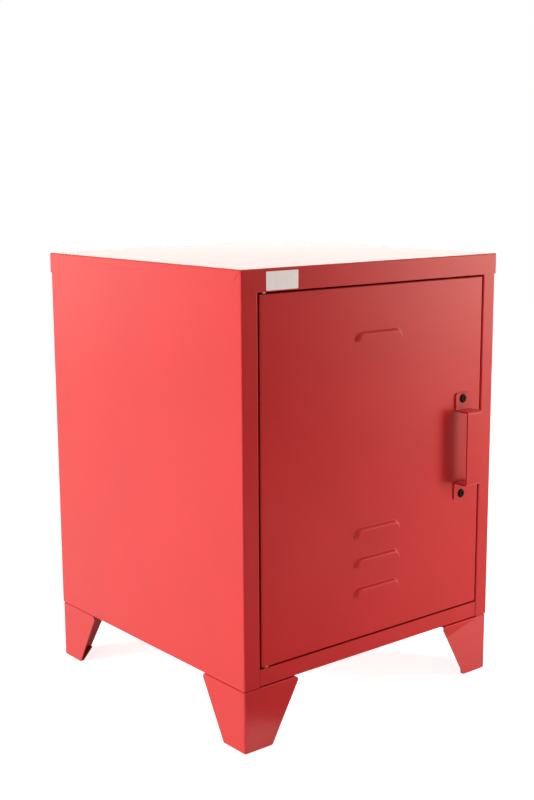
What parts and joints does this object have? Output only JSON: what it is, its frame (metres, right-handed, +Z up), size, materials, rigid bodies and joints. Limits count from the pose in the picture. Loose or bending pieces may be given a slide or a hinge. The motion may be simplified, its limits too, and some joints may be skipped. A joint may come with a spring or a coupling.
{
  "type": "metal cabinet",
  "caption": "Small folded sheet steel locker cabinet on tapered legs, with a louvred hinged door, a strap pull handle, magnetic catches and an inner shelf.",
  "frame": {"origin": "on the floor, in the middle of the box round the whole cabinet, handle included", "axes": "+X to the right seen from the front, +Y from front to back, +Z up"},
  "size_m": [0.4, 0.418, 0.54],
  "materials": {
    "red_paint": "semi-matt red powder coat with a fine texture",
    "rivet_paint": "red powder coat over blind rivet heads",
    "black_screw": "black oxide, slightly oily",
    "zinc_steel": "bright zinc plate",
    "hinge_steel": "turned steel, lightly greased",
    "bush_nylon": "natural moulded nylon",
    "holder_plastic": "white moulded plastic",
    "magnet_nickel": "nickel plate",
    "glide_plastic": "dark grey moulded plastic pad"
  },
  "bodies": {
    "carcass": {"top_lid": "red_paint", "left_side_panel": "red_paint", "right_side_panel": "red_paint", "floor_panel": "red_paint", "back_panel": "red_paint", "back_panel_rivets": "rivet_paint", "door_stop": "red_paint", "magnet_holders": "holder_plastic", "catch_magnets": "magnet_nickel", "left_shelf_rail": "red_paint", "right_shelf_rail": "red_paint", "shelf": "red_paint", "upper_hinge_pin": "hinge_steel", "lower_hinge_pin": "hinge_steel", "front_left_leg": "red_paint", "front_right_leg": "red_paint", "rear_left_leg": "red_paint", "rear_right_leg": "red_paint", "front_left_glide": "glide_plastic", "front_right_glide": "glide_plastic", "rear_left_glide": "glide_plastic", "rear_right_glide": "glide_plastic", "leg_bolts": "zinc_steel", "leg_nuts": "zinc_steel"},
    "door": {"door_panel": "red_paint", "handle": "red_paint", "handle_screws": "black_screw", "handle_nuts": "zinc_steel", "upper_hinge_bush": "bush_nylon", "lower_hinge_bush": "bush_nylon"}
  },
  "joints": [
    {"name": "door_hinge", "type": "hinge", "parent": "carcass", "child": "door", "pos_m": [-0.1653, -0.182, 0.305], "axis": [0, 0, -1], "range_deg": [0, 110]}
  ]
}
